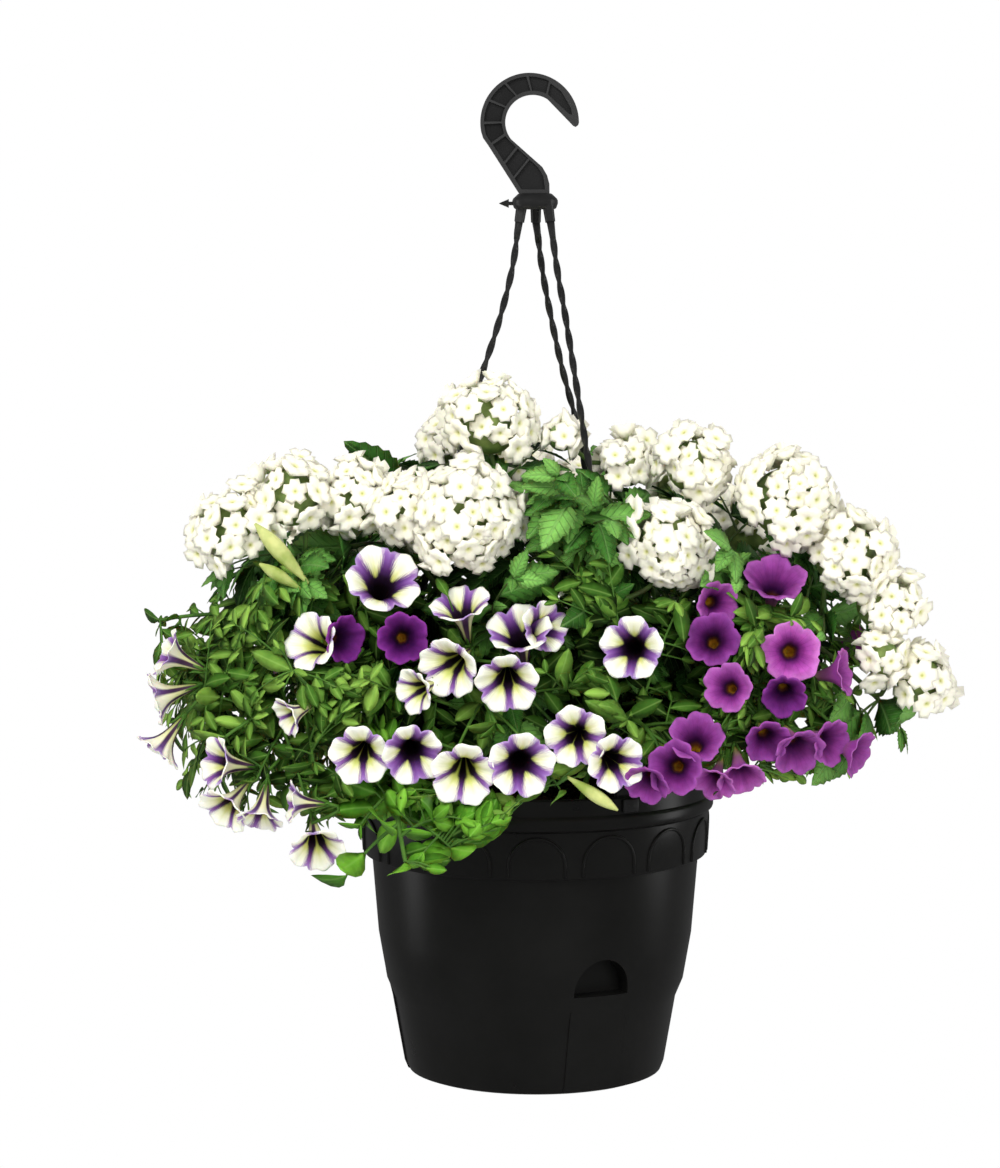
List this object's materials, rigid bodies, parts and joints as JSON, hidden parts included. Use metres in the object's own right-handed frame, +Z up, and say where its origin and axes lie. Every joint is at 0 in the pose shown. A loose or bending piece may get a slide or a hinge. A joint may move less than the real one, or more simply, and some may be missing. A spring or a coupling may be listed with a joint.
{
  "type": "petunia hanging basket",
  "caption": "Planted hanging pot of black plastic with striped and violet petunias and white verbena, hung by a moulded hook on twisted strands.",
  "frame": {"origin": "middle of the flat underside of the pot, on the pot's axis", "axes": "+Z up along the pot's axis to the hook, +X to the viewer's right and -Y towards the viewer, as in the picture"},
  "size_m": [0.5628, 0.4187, 0.706],
  "materials": {
    "pot": "injection-moulded polypropylene, black, softly glossy",
    "potting_soil": "moist dark peat and bark, crumbly",
    "hanger": "injection-moulded polypropylene, black, satin",
    "striped_petals": "soft petals, cream lobes with violet feathered bands from a dark throat",
    "violet_petals": "velvety petals, magenta violet with a dark throat",
    "verbena_petals": "white petals with a yellow-green eye",
    "petunia_leaves": "small soft leaves, light green, slightly glossy",
    "verbena_leaves": "toothed, veined leaves, dark green"
  },
  "bodies": {
    "root": {"hanger_hook": "hanger", "hanger_strand_back": "hanger", "hanger_strand_front": "hanger", "hanger_strand_left": "hanger", "petunia_shoot_back_left": "petunia_leaves", "petunia_shoot_far_left": "petunia_leaves", "petunia_shoot_front": "petunia_leaves", "petunia_shoot_left": "petunia_leaves", "petunia_shoot_low_front": "petunia_leaves", "pot": "pot", "soil": "potting_soil", "striped_flower_back_side": "striped_petals", "striped_flower_left": "striped_petals", "striped_flower_left_inner": "striped_petals", "striped_flower_low_front": "striped_petals", "striped_flower_low_side": "striped_petals", "striped_flower_right": "striped_petals", "striped_flower_top_left": "striped_petals", "striped_flower_top_middle": "striped_petals", "striped_flowers_back_left": "striped_petals", "striped_flowers_centre": "striped_petals", "striped_flowers_centre_top": "striped_petals", "striped_flowers_far_left": "striped_petals", "striped_flowers_low_left": "striped_petals", "striped_flowers_rim_left": "striped_petals", "striped_flowers_rim_middle": "striped_petals", "verbena_head_back_crown": "verbena_petals", "verbena_head_back_low": "verbena_petals", "verbena_head_front_right": "verbena_petals", "verbena_head_right": "verbena_petals", "verbena_head_top": "verbena_petals", "verbena_heads_back_left": "verbena_petals", "verbena_heads_back_middle": "verbena_petals", "verbena_heads_back_right": "verbena_petals", "verbena_heads_far_right": "verbena_petals", "verbena_heads_front_left": "verbena_petals", "verbena_heads_front_middle": "verbena_petals", "verbena_heads_left": "verbena_petals", "verbena_heads_right": "verbena_petals", "verbena_shoot_back_left": "verbena_leaves", "verbena_shoot_back_right": "verbena_leaves", "verbena_shoot_front": "verbena_leaves", "verbena_shoot_left": "verbena_leaves", "verbena_shoot_right": "verbena_leaves", "violet_flower_back_side": "violet_petals", "violet_flower_left": "violet_petals", "violet_flower_left_hidden": "violet_petals", "violet_flower_middle": "violet_petals", "violet_flower_side_right": "violet_petals", "violet_flower_top_right": "violet_petals", "violet_flowers_back_right": "violet_petals", "violet_flowers_low": "violet_petals", "violet_flowers_low_right": "violet_petals", "violet_flowers_right": "violet_petals", "violet_flowers_rim": "violet_petals", "violet_flowers_top": "violet_petals", "violet_shoot_back_right": "petunia_leaves", "violet_shoot_front": "petunia_leaves", "violet_shoot_right": "petunia_leaves"}
  },
  "joints": []
}
